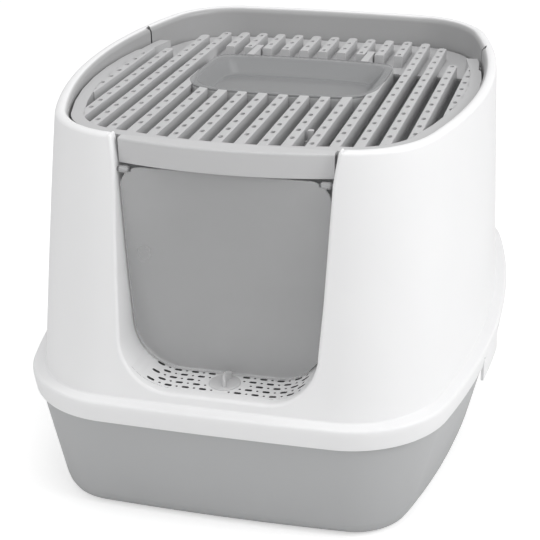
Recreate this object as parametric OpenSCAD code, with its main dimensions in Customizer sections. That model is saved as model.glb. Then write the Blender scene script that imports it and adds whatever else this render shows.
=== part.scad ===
// Top entry litter box: a deep tray, a tall leaning cover with a front doorway
// and flap, and a ribbed lid with a see-through hatch dropped into its rim.
// Millimetres, +Z up, origin under the middle of the flange on the floor.

/* [Flange and cover] */
// Half width across the flange
flange_half_w = 205; // [180:1:230]
// Half depth across the flange
flange_half_d = 255.25; // [230:0.25:280]
// Corner radius of the flange outline
flange_corner = 90; // [70:1:100]
// Radius of the gently bowed sides of the flange
flange_side_r = 787; // [600:1:1200]
// Radius of the nearly straight front and back of the flange
flange_front_r = 4000; // [2500:50:6000]
// Height of the flat ledge the wall rises from
ledge_z = 112.3; // [105:0.1:120]
// Width of that ledge, from the flange edge to the wall foot
ledge_w = 12; // [9:0.1:14]
// Height of the lower edge of the skirt
skirt_z = 93.1; // [88:0.1:97]
// How far the skirt draws in at its lower edge
skirt_draw = 2.5; // [1:0.1:3]
// Half width across the rim
rim_half_w = 185.7; // [176:0.1:192]
// Half depth across the rim
rim_half_d = 198.7; // [192:0.1:204]
// How far the rim sits forward of the middle
rim_forward = 4.05; // [0:0.05:6]
// Corner radius of the rim outline
rim_corner = 78.7; // [70:0.1:86]
// Height of the rim where it crosses the middle
rim_z = 330.9; // [327:0.1:338]
// Rise of the rim per millimetre towards the back
rim_rise = 0.04; // [0.02:0.005:0.045]
// Width of the rolled top band of the rim
rim_band = 10.9; // [9.5:0.1:12]
// Height of the roll's crest above the rim line
rim_roll = 1.5; // [1:0.1:2]
// Moulded wall thickness of the cover
wall_t = 2.4; // [2:0.1:2.8]
// Height of the small step inside the cover
inner_step_z = 151; // [145:1:158]

/* [Tray] */
// Half width of the tray at the floor
base_half_w = 176.4; // [165:0.1:182]
// Half depth of the tray at the floor
base_half_d = 233.4; // [220:0.1:238]
// Corner radius of the tray at the floor
base_corner = 49.4; // [40:0.1:60]
// Wall thickness of the tray
base_t = 2.6; // [2.2:0.1:3]
// Side gap between the tray rim and the flange edge line
base_in = 6.2; // [6:0.1:6.6]
// Gap between the tray rim and the underside of the ledge
seat_gap = 0.3; // [0.2:0.1:0.5]

/* [Doorway] */
// Half width of the doorway where its bottom corners start
door_half_w = 82.6; // [76:0.1:84]
// Height of the doorway sill
door_sill_z = 121.5; // [119:0.1:124]
// Radius of the bottom corners of the doorway
door_corner = 42; // [34:1:46]
// How far the doorway lining reaches behind the rim's front line
throat_in = 8.75; // [7:0.05:10]
// Extra thickness of the lining under the tread
tread_drop = 2.2; // [2:0.1:2.6]

/* [Tread and knob] */
// Length of the perforated tread from the lining's rear edge forward
tread_len = 38; // [36:0.5:40]
// Height the sides of the tread climb beside the doorway
tread_rise = 17; // [15:0.5:19]
// Thickness of the tread
tread_t = 1.9; // [1.6:0.1:2]
// Long and short size of the large holes
tread_hole_w = 6.2; // [5:0.1:7]
tread_hole_d = 3; // [2.4:0.1:3.4]
// Pitch of the holes across and along
tread_pitch_x = 14.8; // [13:0.1:16]
tread_pitch_y = 6.7; // [6:0.1:7.5]
// Radius of the knob disc
knob_r = 13; // [11:0.1:14]
// Distance from the tread's rear edge to the knob
knob_in = 20; // [19:0.5:22]
// Radius of the knob shaft
knob_shaft_r = 3.5; // [3:0.1:4]
// Height of the knob wing above the disc
knob_wing_h = 8; // [6:0.5:10]

/* [Flap] */
// Distance the flap stands in front of the lining's rear edge
flap_in = 6; // [5:0.5:7]
// Flap thickness
flap_t = 1.8; // [1.5:0.1:2.2]
// Gap between the flap and the doorway lining
flap_gap = 1.6; // [1.4:0.1:2]
// How far the flap hinge line lies below the fascia
flap_drop = 4.2; // [3.8:0.1:5.6]
// Radius of the flap pins
flap_pin_r = 1.8; // [1.5:0.1:2]
// Corner radius at the top of the flap
flap_corner = 18; // [14:1:20]

/* [Lid] */
// How far the lid's top face lies below the rim
lid_drop = 10.3; // [9.4:0.1:11.4]
// Depth of the lid frame and ribs
lid_h = 13.6; // [12:0.1:14]
// Gap between the lid and the rim around it
lid_gap = 2; // [1.6:0.1:2.4]
// Plate and web thickness of the lid
lid_t = 2.4; // [2:0.1:2.8]
// Width of the lid border
lid_border = 10.5; // [9.5:0.1:11.5]
// Half width of the front fascia
fascia_half_w = 87.7; // [85:0.1:88]
// How far the ends of the fascia stand behind the rim's front line
fascia_in = 6.25; // [5:0.05:7]
// How far the fascia bows forward
fascia_bow = 10.7; // [9:0.1:12]
// Height of the fascia
fascia_h = 20.4; // [19:0.1:20.6]
// Border width behind the fascia
fascia_border = 18.2; // [16:0.1:20]
// Pitch and width of the ribs
rib_pitch = 18.55; // [18.3:0.05:18.8]
rib_w = 8.6; // [8:0.1:9]
// Pitch and size of the holes along each rib
rib_hole_pitch = 20.6; // [18:0.1:23]
rib_hole_w = 3.8; // [3:0.1:4.6]
rib_hole_d = 6.2; // [5.4:0.1:7]
// Distance from the lid's rear edge to the ribs' rounded ends
rib_rear = 25; // [22:0.5:28]
// Front faces of the short rear ribs
stub_y = 96; // [94:0.5:98]
// Depth position of the lid's side pivots
pivot_y = 93; // [90:0.5:96]
// Radius of the lid pivots
pivot_r = 2.5; // [2:0.1:2.8]
// Width of the springy slot the pivots are pressed down through
slot_w = 2; // [1.6:0.1:3]

/* [Hatch] */
// Half width and half depth of the hatch
hatch_half_w = 87; // [84:0.1:87.2]
hatch_half_d = 62; // [58:0.1:64]
// Middle of the hatch along the depth
hatch_y = 11; // [10:0.5:12]
// Front and rear corner radius of the hatch
hatch_front_r = 34; // [28:1:38]
hatch_rear_r = 16; // [12:1:20]
// Depth of the dish below the lid's top face
dish_h = 11.5; // [10:0.1:12]
// Thickness of the hatch
hatch_t = 2; // [1.8:0.1:2.2]
// Depth position and radius of the hatch hinge pins
hinge_y = 108; // [106:0.5:110]
hinge_r = 1.8; // [1.5:0.1:2]

/* [Side latches] */
// Middle and half length of each latch along the side
latch_y = -53; // [-60:1:-46]
latch_half = 33; // [28:0.5:36]
// Height of the latch's lower edge
latch_z = 80.5; // [78:0.5:84]
// Radius of the latch hinge knuckle and of its pin
latch_knuckle_r = 1.9; // [1.8:0.1:2]
latch_pin_r = 0.9; // [0.8:0.05:1]

/* [Fits] */
// Radial play of a turning pin
turn_play = 0.05; // [0.02:0.01:0.1]
// Gap around parts that drop into a recess
drop_gap = 0.3; // [0.2:0.05:0.4]

/* [Hidden] */
side_n = 4;
corner_n = 11;
front_n = 4;
flange_p = [flange_half_w, flange_half_d, flange_corner, flange_front_r, flange_side_r, 0];
crease_p = shrink(flange_p, ledge_w);
rim_p = [rim_half_w, rim_half_d, rim_corner, 2500, 433, -rim_forward];
base_p = [base_half_w, base_half_d, base_corner, 2000, 763, -2.1];
lid_p = shrink(rim_p, rim_band + lid_gap);
lid_z = rim_z - lid_drop;
lid_under = lid_z - lid_h;
shelf_z = lid_under - drop_gap;
base_top = ledge_z - wall_t - seat_gap;
fascia_r = (fascia_half_w * fascia_half_w + fascia_bow * fascia_bow) / (2 * fascia_bow);
rim_front_y = -rim_half_d - rim_forward;
front_y = -flange_half_d - 6.75;
fascia_end_y = rim_front_y + fascia_in;
fascia_cy = fascia_end_y - fascia_bow + fascia_r;
throat_y = rim_front_y + throat_in;
tread_front_y = throat_y - tread_len;
knob_y = throat_y - knob_in;
flap_y = throat_y - flap_in;
flap_pin_z = lid_z - fascia_h - flap_drop;
door_h = lid_z - door_sill_z;
door_top = rim_z + 14.1;
lining_top = lid_z - 18.6;
sill_low = door_sill_z - 20;
sill_half = door_half_w + 17.4;
window_half = door_half_w - 26.6;
rib_count = 9;
pivot_z = lid_under + 6.2;
pivot_x = side_x(lid_p, pivot_y);
hinge_z = lid_z - 6.6;
hinge_x = 3 * rib_pitch;
tread_z = door_sill_z - drop_gap;
latch_x = flange_half_w - latch_y * latch_y / (2 * flange_side_r);
latch_turn = asin(latch_y / flange_side_r);
latch_hinge_z = 103;
$fn = 64;

// Outlines made of tangent arcs

// Move every arc of an outline inwards by i, keeping the arc centres
function shrink(p, i) = [p[0] - i, p[1] - i, p[2] - i, p[3] - i, p[4] - i, p[5]];

// Centre of the corner arc that touches the side arc and the end arc
function corner_c(p) =
    let (sx = p[0] - p[4], fy = p[1] - p[3], ra = p[4] - p[2], rb = p[3] - p[2])
    let (l = norm([sx, fy]), t = (ra * ra - rb * rb + l * l) / (2 * l))
    let (h = sqrt(ra * ra - t * t), ex = -sx / l, ey = fy / l)
    [sx + ex * t - ey * h, ey * t + ex * h];

// One quarter of an outline, from the side to the end, last point left out
function quarter(p) =
    let (cc = corner_c(p), sx = p[0] - p[4], fy = p[1] - p[3])
    let (a1 = atan2(cc[1], cc[0] - sx), a2 = atan2(cc[1] - fy, cc[0]))
    concat(
        [for (k = [0:side_n - 1]) let (a = a1 * k / side_n)
            [sx + p[4] * cos(a), p[4] * sin(a)]],
        [for (k = [0:corner_n - 1]) let (a = a1 + (a2 - a1) * k / corner_n)
            [cc[0] + p[2] * cos(a), cc[1] + p[2] * sin(a)]],
        [for (k = [0:front_n]) let (a = a2 + (90 - a2) * k / front_n)
            [p[3] * cos(a), fy + p[3] * sin(a)]]);

// A whole outline whose front half follows p and whose back half follows q
function outline2(p, q) =
    let (f = quarter(p), b = quarter(q), n = len(f) - 1, cy = p[5])
    concat(
        [for (k = [0:n - 1]) [b[k][0], b[k][1] + cy]],
        [for (k = [n:-1:1]) [-b[k][0], b[k][1] + cy]],
        [for (k = [0:n - 1]) [-f[k][0], -f[k][1] + cy]],
        [for (k = [n:-1:1]) [f[k][0], -f[k][1] + cy]]);

function outline(p) = outline2(p, p);

// Half width of an outline at depth y, and its half depth at width x
function side_x(p, y) = lookup(abs(y - p[5]), [for (v = quarter(p)) [v[1], v[0]]]);
function end_y(p, x) = lookup(abs(x), [for (v = quarter(p)) [v[0], v[1]]]);

// The cover wall between its foot (t = 0) and the rim (t = 1)
function wall_p(t) = crease_p * (1 - t) + rim_p * t;
function wall_ring(t, i, z, lean) =
    [for (v = outline(shrink(wall_p(t), i))) [v[0], v[1], z + lean * rim_rise * (v[1] - 5.25)]];
function wall_z(t) = ledge_z + t * (rim_z - ledge_z);

function flat_ring(pts, z) = [for (v = pts) [v[0], v[1], z]];

// Solid between stacked rings, closed with a flat face at both ends
module loft(rings) {
    n = len(rings[0]);
    m = len(rings);
    polyhedron(
        points = [for (r = rings) for (v = r) v],
        faces = concat(
            [for (k = [0:m - 2]) for (j = [0:n - 1])
                [k * n + j, (k + 1) * n + j, (k + 1) * n + (j + 1) % n]],
            [for (k = [0:m - 2]) for (j = [0:n - 1])
                [k * n + j, (k + 1) * n + (j + 1) % n, k * n + (j + 1) % n]],
            [[for (j = [0:n - 1]) j]],
            [[for (j = [n - 1:-1:0]) (m - 1) * n + j]]));
}

// Hollow wall: rings go up the outside and down the inside, then close
module tube(rings) {
    n = len(rings[0]);
    m = len(rings);
    polyhedron(
        points = [for (r = rings) for (v = r) v],
        faces = concat(
            [for (k = [0:m - 1]) for (j = [0:n - 1])
                [k * n + j, ((k + 1) % m) * n + j, ((k + 1) % m) * n + (j + 1) % n]],
            [for (k = [0:m - 1]) for (j = [0:n - 1])
                [k * n + j, ((k + 1) % m) * n + (j + 1) % n, k * n + (j + 1) % n]]));
}

// Extrude a shape drawn in width and height from depth y0 forward to y1
module along_y(y0, y1) {
    translate([0, y0, 0])
        rotate([90, 0, 0])
            linear_extrude(height = y0 - y1)
                children();
}

// Doorway outline, d grows it outwards

function door_pts(d, top) = concat(
    [for (a = [-90:9:0])
        [door_half_w - door_corner + (door_corner + d) * cos(a),
            door_sill_z + door_corner + (door_corner + d) * sin(a)]],
    [[door_half_w + 2.4 + d, door_sill_z + 0.4194 * door_h],
        [door_half_w + 3.9 + d, door_sill_z + 0.6454 * door_h],
        [door_half_w + 5.4 + d, door_sill_z + 0.8965 * door_h],
        [door_half_w + 5.4 + 0.15 * (top - door_sill_z - 0.8965 * door_h) + d, top]]);

module door_shape(d, top) {
    r = door_pts(d, top);
    n = len(r);
    polygon(concat(r, [for (k = [n - 1:-1:0]) [-r[k][0], r[k][1]]]));
}

// Tray

tray_p = shrink(flange_p, base_in);
function tray_mix(t) = base_p * (1 - t) + tray_p * t;
function tray_ring(z, i) = flat_ring(outline(shrink(tray_mix(min(z / skirt_z, 1)), i)), z);

// Up the outside, over the edge and down the inside, from a shallow recess below
module base_tray() {
    color([0.66, 0.67, 0.68])
        loft([flat_ring(outline(shrink(base_p, 24.6)), 0.9), flat_ring(outline(shrink(base_p, 24)), 0),
            tray_ring(0, 9), tray_ring(1.2, 5.5), tray_ring(3.6, 2.6), tray_ring(8, 0.7),
            tray_ring(14, 0), tray_ring(skirt_z, 0), tray_ring(base_top, 0),
            tray_ring(base_top, base_t), tray_ring(skirt_z, base_t), tray_ring(14, base_t),
            tray_ring(base_t + 6, 3.6), tray_ring(base_t + 2.4, 7), tray_ring(base_t + 0.9, 11)]);
}

// Cover

// The space up to the middle of the cover's wall, used to trim the doorway lining
module cover_envelope() {
    i = wall_t / 2;
    loft([wall_ring(0, i, ledge_z - 2, 0), wall_ring(0, i, ledge_z, 0), wall_ring(0.25, i, wall_z(0.25), 0.25),
        wall_ring(0.5, i, wall_z(0.5), 0.5), wall_ring(0.75, i, wall_z(0.75), 0.75),
        wall_ring(0.99, i, rim_z - 2, 1), wall_ring(1, i + 1, rim_z - wall_t / 2, 1)]);
}

module cover_wall() {
    tube([
        wall_ring(0, skirt_draw - ledge_w, skirt_z, 0),
        wall_ring(0, 0.2 - ledge_w, ledge_z - 4.4, 0),
        wall_ring(0, 1 - ledge_w, ledge_z - 0.9, 0),
        wall_ring(0, 2.8 - ledge_w, ledge_z - 0.1, 0),
        wall_ring(0, -0.8, ledge_z + 0.1, 0),
        wall_ring(0.006, 0, ledge_z + 1.3, 0),
        wall_ring(0.25, 0, wall_z(0.25), 0.25),
        wall_ring(0.5, 0, wall_z(0.5), 0.5),
        wall_ring(0.75, 0, wall_z(0.75), 0.75),
        wall_ring(0.99, 0, rim_z - 2, 1),
        wall_ring(1, 0.5, rim_z - 0.4, 1),
        wall_ring(1, 0.17 * rim_band, rim_z + 0.6 * rim_roll, 1),
        wall_ring(1, 0.34 * rim_band, rim_z + 0.95 * rim_roll, 1),
        wall_ring(1, 0.5 * rim_band, rim_z + rim_roll, 1),
        wall_ring(1, 0.67 * rim_band, rim_z + 0.6 * rim_roll, 1),
        wall_ring(1, 0.86 * rim_band, rim_z - 0.6, 1),
        wall_ring(1, rim_band, rim_z - 3, 1),
        wall_ring(1, rim_band, shelf_z - 1, 0),
        wall_ring(1, rim_band - wall_t, shelf_z - 1, 0),
        wall_ring(1, rim_band - wall_t, rim_z - wall_t, 1),
        wall_ring(1, wall_t, rim_z - wall_t, 1),
        wall_ring(0.75, wall_t, wall_z(0.75), 0.75),
        wall_ring(0.5, wall_t, wall_z(0.5), 0.5),
        wall_ring((inner_step_z - ledge_z) / (rim_z - ledge_z), wall_t, inner_step_z, 0),
        wall_ring((inner_step_z - ledge_z) / (rim_z - ledge_z), wall_t + 1, inner_step_z - 1, 0),
        wall_ring(0, wall_t + 1, ledge_z - wall_t - 6, 0),
        wall_ring(0, 0.6, ledge_z - wall_t - 6, 0),
        wall_ring(0, 0.6, ledge_z - wall_t, 0),
        wall_ring(0, wall_t + 0.4 - ledge_w, ledge_z - wall_t, 0),
        wall_ring(0, wall_t + skirt_draw - ledge_w, skirt_z, 0)]);
}

// Local frame of a side latch: x outwards, y along the side
module at_latch(s) {
    mirror([s < 0 ? 1 : 0, 0, 0])
        translate([latch_x, latch_y, 0])
            rotate([0, 0, latch_turn])
                children();
}

module cover_shell() {
    color([0.93, 0.93, 0.94])
        difference() {
            union() {
                difference() {
                    cover_wall();
                    // The doorway through the front
                    along_y(throat_y + 44, front_y - 38)
                        door_shape(0, door_top);
                }
                // shelf the lid rests on, none behind its pivots, where the lid dips when opened
                translate([0, 0, shelf_z - wall_t])
                    linear_extrude(height = wall_t)
                        difference() {
                            intersection() {
                                polygon(outline(shrink(rim_p, rim_band - 1)));
                                translate([-rim_half_w, -rim_half_d])
                                    square([2 * rim_half_w, rim_half_d + pivot_y - 20]);
                            }
                            polygon(outline(shrink(rim_p, rim_band + lid_gap + 3.4)));
                            translate([-door_half_w - 8, -rim_half_d - 20])
                                square([2 * door_half_w + 16, 80]);
                        }
                // lining of the doorway, thicker below where the tread drops in
                intersection() {
                    cover_envelope();
                    union() {
                        along_y(throat_y, front_y)
                            difference() {
                                door_shape(wall_t, lining_top);
                                door_shape(0, door_top);
                            }
                        // beside the fascia it closes the hollow of the rim
                        along_y(rim_front_y + rim_band + 0.8, front_y)
                            difference() {
                                intersection() {
                                    door_shape(wall_t, door_top - 5);
                                    translate([-sill_half - 20, lining_top - 2])
                                        square([2 * sill_half + 40, 60]);
                                }
                                door_shape(0, door_top);
                            }
                        along_y(throat_y, front_y)
                            intersection() {
                                difference() {
                                    door_shape(wall_t + tread_drop, door_top);
                                    door_shape(0, door_top);
                                }
                                translate([-sill_half, sill_low])
                                    square([2 * sill_half, 20 + tread_rise + 2]);
                            }
                    }
                }
                // ears that carry the side latches
                for (s = [-1, 1])
                    at_latch(s)
                        for (e = [-1, 1])
                            translate([-4.6, e * (latch_half + 2.2) - 1.5, latch_hinge_z - 3])
                                cube([3.6, 3, 7]);
            }
            // recess for the tread and the window below it
            along_y(throat_y + 1, tread_front_y - drop_gap)
                intersection() {
                    door_shape(tread_drop, door_top);
                    translate([-sill_half, sill_low])
                        square([2 * sill_half, 20 + tread_rise + drop_gap]);
                }
            translate([-window_half, tread_front_y + 4, door_sill_z - 12])
                cube([2 * window_half, tread_len - 8, 16]);
            // slots the lid's pivots drop into
            for (s = [-1, 1]) {
                translate([s * (pivot_x + lid_gap + 1.2), pivot_y, pivot_z])
                    rotate([0, 90, 0])
                        cylinder(r = pivot_r + turn_play, h = 6, center = true);
                translate([s * (pivot_x + lid_gap + 1.2) - 3, pivot_y - slot_w / 2, pivot_z])
                    cube([6, slot_w, 40]);
                translate([s * (pivot_x + lid_gap + 1.2), pivot_y, rim_z + rim_roll + rim_rise * pivot_y])
                    rotate([45, 0, 0])
                        cube([6, 5.4, 5.4], center = true);
            }
            // holes for the flap pins
            for (s = [-1, 1])
                translate([s * (door_half_w + 6), flap_y, flap_pin_z])
                    rotate([0, 90, 0])
                        cylinder(r = flap_pin_r, h = 12, center = true);
            // windows in the skirt for the side latches
            for (s = [-1, 1])
                at_latch(s) {
                    translate([-6.4, -latch_half - 0.6, skirt_z - 5])
                        cube([9, 2 * latch_half + 1.2, latch_hinge_z + latch_knuckle_r + 0.4 - skirt_z + 5]);
                    translate([-1.3 - latch_knuckle_r, 0, latch_hinge_z])
                        rotate([90, 0, 0])
                            cylinder(r = latch_pin_r, h = 2 * latch_half + 6, center = true);
                }
        }
}

// Tread, knob and cam

module sill_tread() {
    color([0.94, 0.94, 0.95])
        difference() {
            along_y(throat_y, tread_front_y)
                intersection() {
                    difference() {
                        door_shape(tread_drop - 0.1, door_top);
                        door_shape(tread_drop - 0.1 - tread_t, door_top);
                    }
                    translate([-sill_half, sill_low])
                        square([2 * sill_half, 20 + tread_rise]);
                }
            // large oval holes in staggered rows, small round ones between
            for (j = [0:4])
                for (i = [-4:4]) {
                    x = i * tread_pitch_x + (j % 2) * tread_pitch_x / 2;
                    y = throat_y - 7 - j * tread_pitch_y;
                    if (norm([x, y - knob_y]) > knob_r + 3.4)
                        translate([x, y, door_sill_z - 8])
                            linear_extrude(height = 30)
                                union() {
                                    square([tread_hole_w - tread_hole_d, tread_hole_d], center = true);
                                    for (s = [-1, 1])
                                        translate([s * (tread_hole_w - tread_hole_d) / 2, 0])
                                            circle(d = tread_hole_d, $fn = 24);
                                }
                    if (norm([x + tread_pitch_x / 2, y - knob_y]) > knob_r + 2.4)
                        translate([x + tread_pitch_x / 2, y, door_sill_z - 8])
                            cylinder(d = 2, h = 30, $fn = 24);
                }
            // seat of the knob
            translate([0, knob_y, door_sill_z - 12])
                cylinder(r = knob_shaft_r + turn_play, h = 20);
        }
}

module sill_knob() {
    color([0.86, 0.86, 0.87])
        translate([0, knob_y, 0])
            union() {
                translate([0, 0, tread_plane + 0.1])
                    cylinder(r = knob_r, h = 1);
                translate([0, 0, cam_z])
                    cylinder(r = knob_shaft_r, h = tread_plane + 0.6 - cam_z);
                // curved finger wing
                intersection() {
                    translate([0, 0, tread_plane + 1])
                        difference() {
                            translate([14, 0, 0])
                                cylinder(r = 15.3, h = knob_wing_h);
                            translate([14, 0, -1])
                                cylinder(r = 12.9, h = knob_wing_h + 2);
                        }
                    translate([-6, -9.5, tread_plane])
                        cube([12, 20, knob_wing_h + 2]);
                    translate([0, 0, tread_plane - 8])
                        rotate([0, 90, 0])
                            cylinder(r = 17, h = 40, center = true);
                }
            }
}

// Top face of the tread at the middle, and the underside of the lining there
tread_plane = door_sill_z - tread_drop + 0.1 + tread_t;
lining_under = door_sill_z - wall_t - tread_drop;
cam_z = lining_under - 2.9;

module sill_cam() {
    color([0.8, 0.8, 0.81])
        translate([0, knob_y, cam_z])
            difference() {
                union() {
                    translate([-4.5, -17.5, 0])
                        cube([9, 37, 2.6]);
                    cylinder(r = 7, h = 2.6);
                }
                translate([0, 0, -1])
                    cylinder(r = knob_shaft_r, h = 5);
            }
}

// Flap

module flap_outline(d) {
    intersection() {
        door_shape(-flap_gap + d, door_top);
        union() {
            translate([-sill_half, sill_low])
                square([2 * sill_half, flap_top - flap_corner - sill_low]);
            translate([-flap_top_half + flap_corner, flap_top - flap_corner - 1])
                square([2 * (flap_top_half - flap_corner), flap_corner + 1]);
            for (s = [-1, 1])
                translate([s * (flap_top_half - flap_corner), flap_top - flap_corner])
                    circle(r = flap_corner);
        }
    }
}

flap_top = flap_pin_z + 2.4;
flap_top_half = door_half_w + 5.3 - flap_gap;
flap_lug_r = flap_pin_r + 1.2;

module front_flap() {
    color([0.45, 0.46, 0.48, 0.45])
        difference() {
            union() {
                along_y(flap_y + flap_t / 2, flap_y - flap_t / 2)
                    flap_outline(0);
                // bosses on the pins, tied to the sheet by short arms
                for (s = [-1, 1]) {
                    translate([s * (flap_top_half - 4.2), flap_y, flap_pin_z])
                        rotate([0, 90, 0])
                            cylinder(r = flap_lug_r, h = 7, center = true);
                    translate([s * (flap_top_half - 8) - 3.5, flap_y - flap_t / 2, flap_pin_z - 12])
                        cube([7, flap_t, 12]);
                }
            }
            for (s = [-1, 1])
                translate([s * flap_top_half, flap_y, flap_pin_z])
                    rotate([0, 90, 0])
                        cylinder(r = flap_pin_r + turn_play, h = 20, center = true);
        }
}

module flap_pin(s) {
    color([0.4, 0.4, 0.42])
        translate([s * (flap_top_half - 9), flap_y, flap_pin_z])
            rotate([0, s * 90, 0])
                cylinder(r = flap_pin_r, h = 13);
}

module flap_pin_left() { flap_pin(-1); }
module flap_pin_right() { flap_pin(1); }

// Lid

// Area of the lid that the ribs fill, grown by d
module field(d) {
    union() {
        polygon(outline(shrink(lid_p, lid_border - d)));
        intersection() {
            translate([0, fascia_cy])
                circle(r = fascia_r - fascia_border + d, $fn = 360);
            translate([-fascia_half_w, fascia_end_y - 20])
                square([2 * fascia_half_w, 100]);
        }
    }
}

// Lid outline drawn in by d, with clearance for the edge that swings past the rim at the pivots
module lid_plan(d) {
    difference() {
        polygon(outline(shrink(lid_p, d)));
        for (s = [-1, 1])
            mirror([s > 0 ? 0 : 1, 0])
                translate([pivot_x - d, pivot_y])
                    polygon([[6.4, -33 - d], [3.2, -26 - d], [0.6, -3.5], [40, -3.5], [40, -33 - d]]);
    }
}

module lid_frame() {
    color([0.7, 0.7, 0.71])
        difference() {
            union() {
                // top plate of the border
                translate([0, 0, lid_z - lid_t])
                    linear_extrude(height = lid_t)
                        difference() {
                            lid_plan(0);
                            field(0);
                        }
                // outer and inner webs below it
                translate([0, 0, lid_under])
                    linear_extrude(height = lid_h - 1)
                        difference() {
                            lid_plan(0);
                            union() {
                                lid_plan(lid_t);
                                translate([-fascia_half_w, fascia_end_y - 20])
                                    square([2 * fascia_half_w, 80]);
                            }
                        }
                translate([0, 0, lid_under])
                    linear_extrude(height = lid_h - 1)
                        difference() {
                            intersection() {
                                field(lid_t);
                                lid_plan(0);
                            }
                            field(0);
                        }
            }
            // The rear part of the border lies lower
            translate([-200, stub_y + 8, lid_under + 3])
                cube([400, 120, 30]);
            translate([-200, stub_y + 8 + lid_t, lid_under - 1])
                cube([400, 120, 30]);
            for (s = [-1, 1])
                translate([s * pivot_x, pivot_y, pivot_z])
                    rotate([0, 90, 0])
                        cylinder(r = pivot_r, h = 12, center = true);
        }
}

module lid_pivot(s) {
    color([0.6, 0.6, 0.62])
        translate([s * (pivot_x - lid_t - 1.5), pivot_y, pivot_z])
            rotate([0, s * 90, 0])
                cylinder(r = pivot_r, h = lid_t + 1.5 + lid_gap + 2.1);
}

module lid_pivot_left() { lid_pivot(-1); }
module lid_pivot_right() { lid_pivot(1); }

// Curved apron in front of the lid, standing in the notch above the doorway
module lid_fascia() {
    color([0.74, 0.74, 0.75])
        intersection() {
            union() {
                translate([0, fascia_cy, lid_z - fascia_h])
                    difference() {
                        cylinder(r = fascia_r, h = fascia_h, $fn = 360);
                        translate([0, 0, -1])
                            cylinder(r = fascia_r - lid_t, h = fascia_h + 2, $fn = 360);
                    }
                translate([0, 0, lid_z - lid_t])
                    linear_extrude(height = lid_t)
                        difference() {
                            translate([0, fascia_cy])
                                circle(r = fascia_r, $fn = 360);
                            polygon(outline(lid_p));
                        }
            }
            translate([-fascia_half_w, fascia_end_y - 20, lid_z - 30])
                cube([2 * fascia_half_w, 60, 40]);
            difference() {
                translate([-200, -300, lid_z - 40])
                    cube([400, 200, 60]);
                translate([0, 0, lid_z - 41])
                    linear_extrude(height = 70)
                        polygon(outline(lid_p));
            }
        }
}

// Rib number i has its middle at this width
function rib_x(i) = (i - 0.5) * rib_pitch;
function rib_end(x) = end_y(shrink(lid_p, rib_rear), min(abs(x), 150)) - rim_forward;

// One rib with a rounded rear end and a row of holes
module rib(i, y0, y1) {
    x = rib_x(i);
    first = fascia_end_y + 21.1 + (abs(i) % 2) * rib_hole_pitch / 2;
    difference() {
        union() {
            translate([x - rib_w / 2, y0, lid_under])
                cube([rib_w, y1 - rib_w / 2 - y0, lid_h]);
            translate([x, y1 - rib_w / 2, lid_under])
                cylinder(r = rib_w / 2, h = lid_h - 1.2);
            translate([x, y1 - rib_w / 2 - 0.8, lid_under])
                cylinder(r = rib_w / 2, h = lid_h);
        }
        for (k = [0:16]) {
            y = first + k * rib_hole_pitch;
            // Holes in the middle go right through, the others are blind
            deep = abs(i - 0.5) < 3 && y > fascia_end_y + 34 && y < hatch_y - hatch_half_d - 14;
            if (y > y0 + 5 && y < y1 - 5)
                translate([x, y, deep ? lid_under - 1 : lid_z - 2.5])
                    linear_extrude(height = lid_h + 2)
                        union() {
                            square([rib_hole_w, rib_hole_d - rib_hole_w], center = true);
                            for (s = [-1, 1])
                                translate([0, s * (rib_hole_d - rib_hole_w) / 2])
                                    circle(d = rib_hole_w, $fn = 16);
                        }
        }
    }
}

// Keep only what lies over the rib area, clear of the hatch and its collar
module in_field() {
    difference() {
        intersection() {
            children();
            translate([0, 0, lid_under - 1])
                linear_extrude(height = lid_h + 2)
                    field(0);
        }
        translate([0, 0, lid_under - 2])
            linear_extrude(height = lid_h + 4)
                polygon(hatch_pts(-0.5));
    }
}

module deck(x0, x1) {
    translate([0, 0, lid_under])
        linear_extrude(height = lid_t)
            difference() {
                intersection() {
                    union() {
                        polygon(outline(shrink(lid_p, lid_border)));
                        intersection() {
                            polygon(outline(lid_p));
                            translate([-200, stub_y + 8 + lid_t])
                                square([400, 120]);
                        }
                    }
                    translate([x0, hatch_y + hatch_half_d - 2])
                        square([x1 - x0, 140]);
                }
                polygon(hatch_pts(-0.5));
            }
}

side_split = rib_x(5) - rib_pitch / 2;

module side_ribs(s) {
    color([0.82, 0.82, 0.83])
        mirror([s > 0 ? 0 : 1, 0, 0])
            union() {
                in_field()
                    for (i = [6:9])
                        rib(i, rim_front_y + 2.75, i == 9 ? 110 : rib_end(rib_x(i)));
                deck(side_split + rib_pitch, 200);
            }
}

module lid_ribs_left() { side_ribs(-1); }
module lid_ribs_right() { side_ribs(1); }

module lid_ribs_front() {
    color([0.82, 0.82, 0.83])
        in_field()
            for (i = [-4:5])
                rib(i, fascia_end_y - 18.5, hatch_y - 12);
}

module lid_ribs_rear() {
    color([0.8, 0.8, 0.81])
        difference() {
            union() {
                intersection() {
                    for (i = [-4:5])
                        rib(i, stub_y, rib_end(rib_x(i)));
                    translate([0, 0, lid_under - 1])
                        linear_extrude(height = lid_h + 2)
                            field(0);
                }
                deck(-side_split - rib_pitch, side_split + rib_pitch);
            }
            for (s = [-1, 1])
                translate([s * hinge_x, hinge_y, hinge_z])
                    rotate([0, 90, 0])
                        cylinder(r = hinge_r, h = rib_pitch - 1.6, center = true);
        }
}

// Small peg between two of the front ribs
module lid_peg() {
    color([0.62, 0.62, 0.64])
        translate([hinge_x, fascia_end_y + 56.5, lid_under])
            union() {
                translate([-(rib_pitch - rib_w) / 2, -2, 0])
                    cube([rib_pitch - rib_w, 4, 3]);
                cylinder(r = 2.4, h = lid_h - 1);
                translate([-2.4, -2.4, 0])
                    cube([4.8, 2.4, lid_h - 1]);
            }
}

// Hatch

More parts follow.
